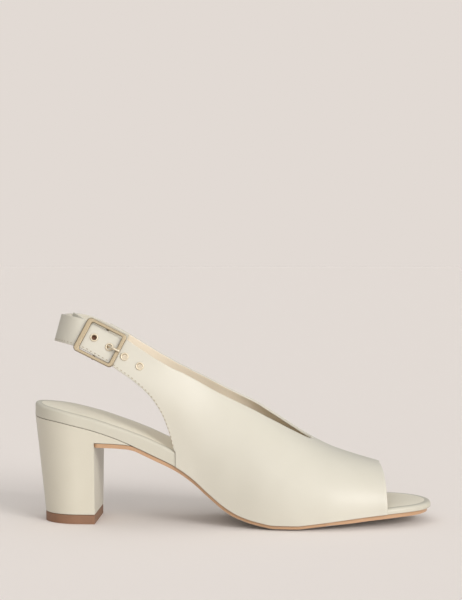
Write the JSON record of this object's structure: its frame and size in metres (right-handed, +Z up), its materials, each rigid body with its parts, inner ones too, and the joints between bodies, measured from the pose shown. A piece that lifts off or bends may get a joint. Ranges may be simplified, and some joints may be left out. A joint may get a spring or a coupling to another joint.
{
  "type": "slingback sandal",
  "caption": "Right-foot peep-toe slingback sandal: curved leather vamp and quarters, buckled heel strap, covered footbed, block heel and thin outsole.",
  "frame": {"origin": "on the floor, under the middle of the sandal's bounding box", "axes": "+X from heel to toe, +Y to the medial (inner) side, +Z up"},
  "size_m": [0.24, 0.0814, 0.126],
  "materials": {
    "upper_leather": "smooth cream leather, soft satin",
    "lining": "matt greige lining leather",
    "outsole": "tan sole leather with a smooth painted edge",
    "top_piece": "brown, matt",
    "buckle": "polished pale gold plating"
  },
  "bodies": {
    "root": {"outsole": "outsole", "footbed": "upper_leather", "insole_sock": "lining", "heel_block": "upper_leather", "heel_top_piece": "top_piece", "upper": "upper_leather", "sling_strap": "upper_leather", "buckle_frame": "buckle", "buckle_prong": "buckle", "eyelet_1": "buckle", "eyelet_2": "buckle", "eyelet_3": "buckle", "eyelet_4": "buckle"}
  },
  "joints": []
}
